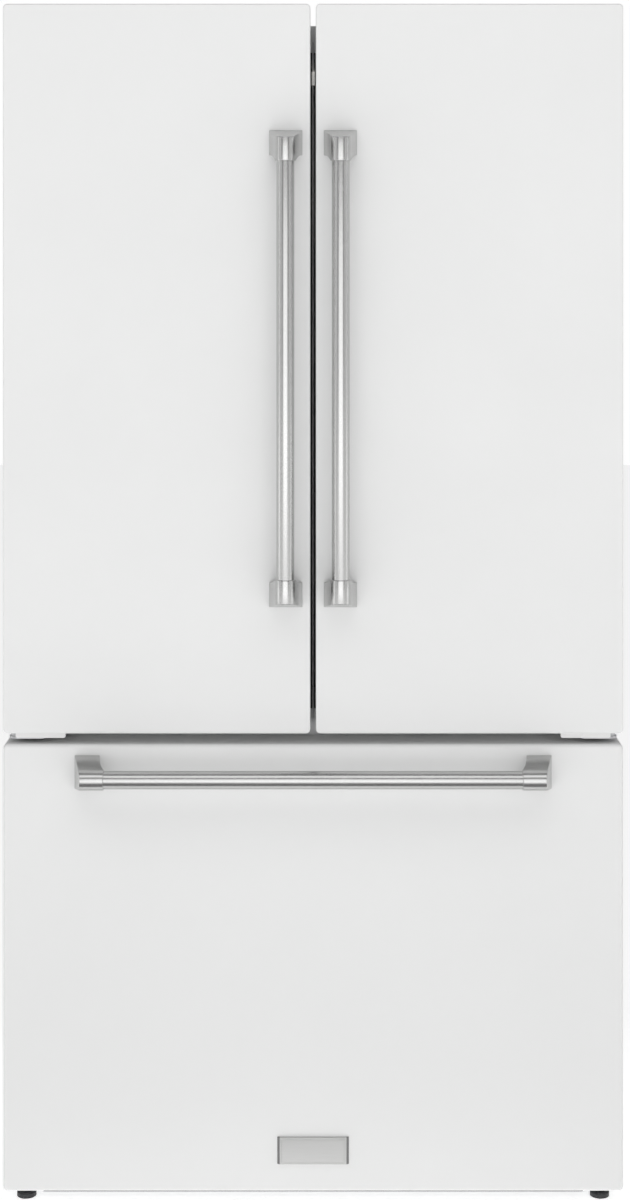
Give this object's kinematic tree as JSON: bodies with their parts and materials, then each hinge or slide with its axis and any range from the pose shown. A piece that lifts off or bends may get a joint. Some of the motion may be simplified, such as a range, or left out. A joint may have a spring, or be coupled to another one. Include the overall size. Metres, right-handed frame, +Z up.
{
  "type": "french door refrigerator",
  "caption": "Free-standing refrigerator: side-by-side hinged fridge doors over a full-width pull-out freezer drawer, round bar handles, white painted panels",
  "frame": {"origin": "bottom centre of the object's box, on the floor, doors and drawer closed", "axes": "+Z up, -Y is the front with the handles, +X to the right seen from the front"},
  "size_m": [0.908, 0.7476, 1.778],
  "materials": {
    "white_paint": "gloss",
    "grey_paint": "satin",
    "galvanised": "satin",
    "stainless": "brushed",
    "hinge_steel": "satin",
    "foam": "matte",
    "white_liner": "satin",
    "white_trim": "satin",
    "gasket_rubber": "matte",
    "dark_plastic": "matte",
    "clear_plastic": "clear",
    "shelf_glass": "clear",
    "light_lens": "frosted",
    "black_enamel": "satin",
    "fin_aluminium": "satin",
    "grommet_rubber": "matte",
    "mullion_face": "satin"
  },
  "bodies": {
    "cabinet": {"outer_case": "white_paint", "rear_panel": "galvanised", "front_frame": "grey_paint", "insulation": "foam", "fridge_liner": "white_liner", "freezer_liner": "white_liner", "machine_cover": "galvanised", "base_frame": "galvanised", "toe_grille": "dark_plastic", "door_hinges": "hinge_steel", "hinge_covers": "white_trim", "drawer_runners": "galvanised", "freezer_back_panel": "white_liner", "evaporator": "fin_aluminium", "fan_motor": "dark_plastic", "shelf_frames": "white_liner", "shelf_glass": "shelf_glass", "shelf_arms": "hinge_steel", "crispers": "clear_plastic", "pantry_drawer": "clear_plastic", "shelf_tracks": "hinge_steel", "air_duct": "white_liner", "ceiling_light": "light_lens", "compressor": "black_enamel", "compressor_grommets": "grommet_rubber", "fan_shroud": "dark_plastic", "drain_pan": "dark_plastic", "condenser": "fin_aluminium"},
    "left_door": {"left_door_skin": "white_paint", "left_door_foam": "foam", "left_door_liner": "white_liner", "left_door_gasket": "gasket_rubber", "left_door_bins": "clear_plastic", "left_door_handle": "stainless", "mullion_lugs": "mullion_face"},
    "right_door": {"right_door_skin": "white_paint", "right_door_foam": "foam", "right_door_liner": "white_liner", "right_door_gasket": "gasket_rubber", "right_door_bins": "clear_plastic", "right_door_handle": "stainless"},
    "flip_mullion": {"flip_mullion": "mullion_face"},
    "freezer_drawer": {"drawer_skin": "white_paint", "drawer_foam": "foam", "drawer_liner": "white_liner", "drawer_gasket": "gasket_rubber", "drawer_handle": "stainless", "blank_plate": "stainless", "drawer_rails": "galvanised", "lower_basket": "white_liner"},
    "slide_carriers": {"slide_carriers": "galvanised"},
    "upper_tray": {"upper_tray": "white_liner"},
    "left_humidity_slide": {"left_humidity_slide": "white_trim"},
    "right_humidity_slide": {"right_humidity_slide": "white_trim"},
    "evaporator_fan": {"evaporator_fan": "dark_plastic"},
    "condenser_fan": {"condenser_fan": "dark_plastic"},
    "left_leg": {"left_leg": "dark_plastic"},
    "right_leg": {"right_leg": "dark_plastic"},
    "left_roller": {"left_roller": "dark_plastic"},
    "right_roller": {"right_roller": "dark_plastic"}
  },
  "joints": [
    {"name": "left_door_hinge", "type": "hinge", "parent": "cabinet", "child": "left_door", "pos_m": [-0.436, -0.28025, 0.71], "axis": [0, 0, -1], "range_deg": [0, 120]},
    {"name": "right_door_hinge", "type": "hinge", "parent": "cabinet", "child": "right_door", "pos_m": [0.436, -0.28025, 0.71], "axis": [0, 0, 1], "range_deg": [0, 120]},
    {"name": "mullion_flip", "type": "hinge", "parent": "left_door", "child": "flip_mullion", "pos_m": [-0.037, -0.22625, 1.222], "axis": [0, 0, -1], "range_deg": [0, 90]},
    {"name": "freezer_slide", "type": "slide", "parent": "cabinet", "child": "freezer_drawer", "axis": [0, -1, 0], "range_m": [0, 0.4]},
    {"name": "carrier_slide", "type": "slide", "parent": "cabinet", "child": "slide_carriers", "axis": [0, -1, 0], "range_m": [0, 0.2]},
    {"name": "upper_tray_slide", "type": "slide", "parent": "cabinet", "child": "upper_tray", "axis": [0, -1, 0], "range_m": [0, 0.2]},
    {"name": "left_humidity", "type": "slide", "parent": "cabinet", "child": "left_humidity_slide", "axis": [1, 0, 0], "range_m": [-0.015, 0.015]},
    {"name": "right_humidity", "type": "slide", "parent": "cabinet", "child": "right_humidity_slide", "axis": [1, 0, 0], "range_m": [-0.015, 0.015]},
    {"name": "evaporator_fan_spin", "type": "hinge", "parent": "cabinet", "child": "evaporator_fan", "pos_m": [0, 0.25175, 0.582], "axis": [0, 1, 0], "continuous": true},
    {"name": "condenser_fan_spin", "type": "hinge", "parent": "cabinet", "child": "condenser_fan", "pos_m": [0.008, 0.27875, 0.1318], "axis": [1, 0, 0], "continuous": true},
    {"name": "left_leg_turn", "type": "hinge", "parent": "cabinet", "child": "left_leg", "pos_m": [-0.43, -0.22725, 0], "axis": [0, 0, 1], "continuous": true},
    {"name": "right_leg_turn", "type": "hinge", "parent": "cabinet", "child": "right_leg", "pos_m": [0.43, -0.22725, 0], "axis": [0, 0, 1], "continuous": true},
    {"name": "left_roller_spin", "type": "hinge", "parent": "cabinet", "child": "left_roller", "pos_m": [-0.4, 0.31375, 0.02], "axis": [1, 0, 0], "continuous": true},
    {"name": "right_roller_spin", "type": "hinge", "parent": "cabinet", "child": "right_roller", "pos_m": [0.4, 0.31375, 0.02], "axis": [1, 0, 0], "continuous": true}
  ],
  "couplings": [
    {"joint": "carrier_slide", "follows": "freezer_slide", "ratio": 0.5},
    {"joint": "upper_tray_slide", "follows": "freezer_slide", "ratio": 0.5}
  ]
}
